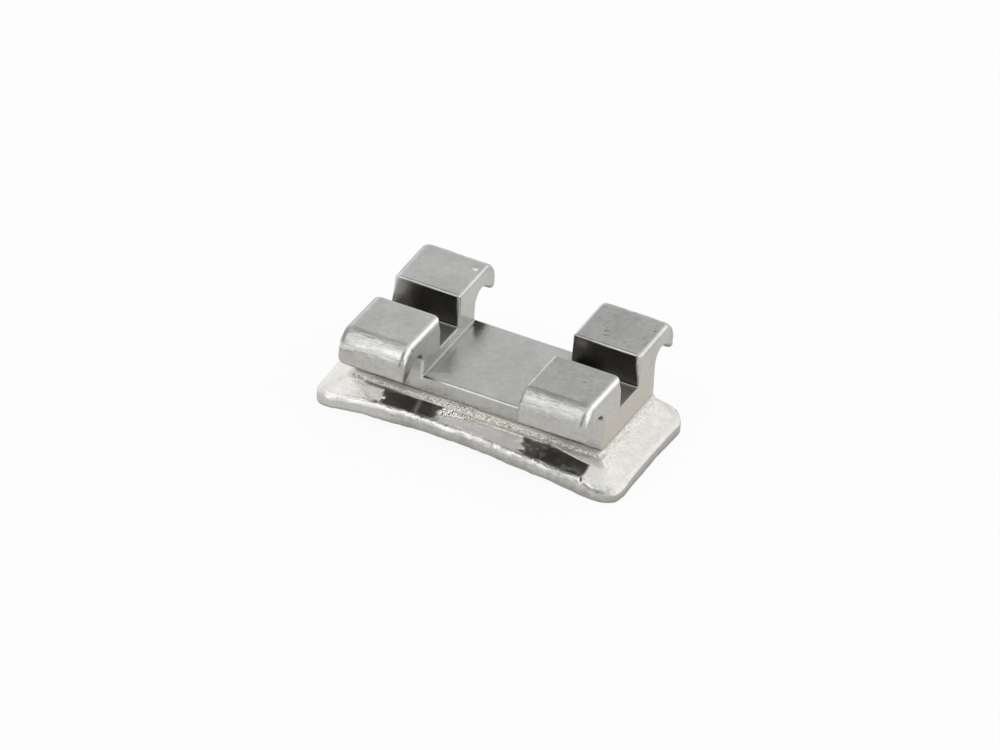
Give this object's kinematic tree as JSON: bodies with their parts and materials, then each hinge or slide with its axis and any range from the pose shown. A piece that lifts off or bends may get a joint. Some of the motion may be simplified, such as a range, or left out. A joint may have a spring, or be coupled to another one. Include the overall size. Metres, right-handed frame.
{
  "type": "orthodontic bracket",
  "caption": "Twin edgewise orthodontic bracket: grooved body with tie wings and an archwire slot, brazed to a curved pad with bonding mesh.",
  "frame": {"origin": "on the flat surface that the corners of the pad stand on, under the middle of the box", "axes": "+X along the archwire slot, +Y from the front wings to the back wings, +Z away from the tooth"},
  "size_m": [0.0048, 0.0028, 0.0015],
  "materials": {
    "body_steel": "satin, hand finished, fine scratches",
    "braze": "granular pale filler",
    "pad_steel": "bright, uneven rim",
    "mesh_steel": "woven wire"
  },
  "bodies": {
    "root": {"bracket_body": "body_steel", "braze_seam": "braze", "base_pad": "pad_steel", "bonding_mesh": "mesh_steel"}
  },
  "joints": []
}
